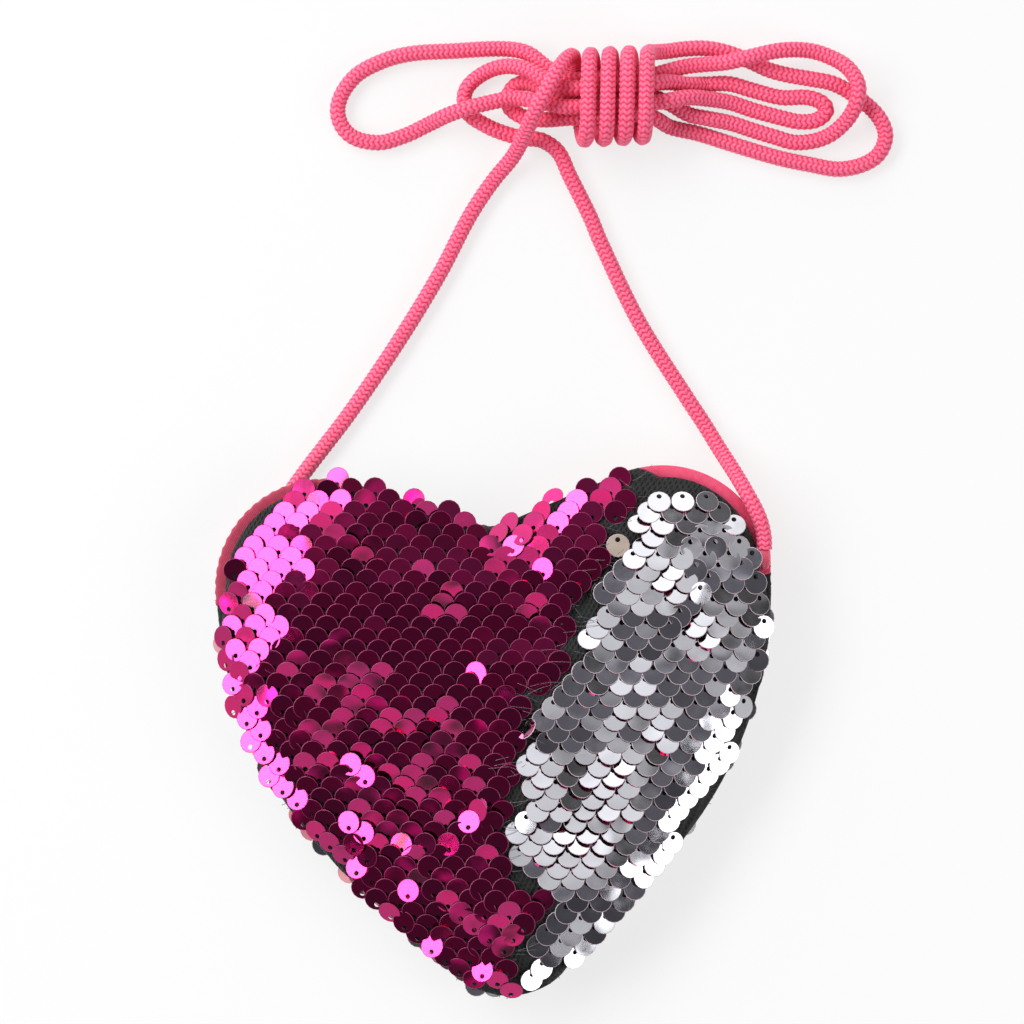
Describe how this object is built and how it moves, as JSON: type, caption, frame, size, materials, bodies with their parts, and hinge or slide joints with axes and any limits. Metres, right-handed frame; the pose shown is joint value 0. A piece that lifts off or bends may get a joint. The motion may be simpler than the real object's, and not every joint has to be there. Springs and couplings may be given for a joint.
{
  "type": "crossbody coin purse",
  "caption": "Heart-shaped coin purse covered in two-tone flip sequins, with a curved zip round one lobe and a knitted cord strap tied up in a hank",
  "frame": {"origin": "middle of the heart's outline, on the surface that the purse lies on with its back panel", "axes": "+X to the right across both lobes, seen from the front, +Y from the tip to the lobes and the strap, +Z out of the front panel"},
  "size_m": [0.1486, 0.2036, 0.0211],
  "materials": {
    "mesh_cloth": "black power mesh over thin wadding",
    "lining_cloth": "thin woven lining, salmon pink",
    "facing_cloth": "smooth satin binding, pink",
    "sequin_magenta": "thin glossy metallised film, magenta face up",
    "sequin_silver": "thin glossy metallised film, silver face up",
    "sequin_champagne": "thin glossy metallised film, edge of the silver face",
    "zip_tape": "close woven zip tape, pink",
    "zip_teeth": "moulded plastic teeth, pink",
    "zip_stop": "crimped metal stop, satin",
    "zip_slider": "die-cast, gloss enamel, pink",
    "tab_cloth": "folded and stitched tape, pink",
    "cord": "knitted braid, coral pink"
  },
  "bodies": {
    "bag": {"front_panel": "mesh_cloth", "back_panel": "mesh_cloth", "front_lining": "lining_cloth", "back_lining": "lining_cloth", "top_facing": "facing_cloth", "side_seam": "mesh_cloth", "front_sequins_magenta": "sequin_magenta", "front_sequins_silver": "sequin_silver", "back_sequins": "sequin_magenta", "zip_tape_outer": "zip_tape", "zip_tape_inner": "zip_tape", "zip_teeth_outer": "zip_teeth", "zip_teeth_inner": "zip_teeth", "zip_top_stop": "zip_stop", "zip_bottom_stop": "zip_stop", "strap_tab_left": "tab_cloth", "strap_tab_right": "tab_cloth", "strap_left_leg": "cord", "strap_hank": "cord", "strap_right_leg": "cord"},
    "slider": {"zip_slider": "zip_slider"},
    "pull": {"zip_pull": "zip_slider"},
    "turned_sequin": {"loose_sequin": "sequin_champagne"}
  },
  "joints": [
    {"name": "zip_travel", "type": "hinge", "parent": "bag", "child": "slider", "pos_m": [0.03048, 0.02445, 0.007], "axis": [0, 0, 1], "range_deg": [0, 106], "deforming": ["zip_teeth_outer", "zip_teeth_inner"]},
    {"name": "pull_swing", "type": "hinge", "parent": "slider", "child": "pull", "pos_m": [0.05177, 0.03552, 0.00352], "axis": [0.8872, 0.4613, 0], "range_deg": [0, 150]},
    {"name": "sequin_flip", "type": "hinge", "parent": "bag", "child": "turned_sequin", "pos_m": [0.02655, 0.04018, 0.01862], "axis": [-1, 0, 0], "range_deg": [0, 170]}
  ]
}
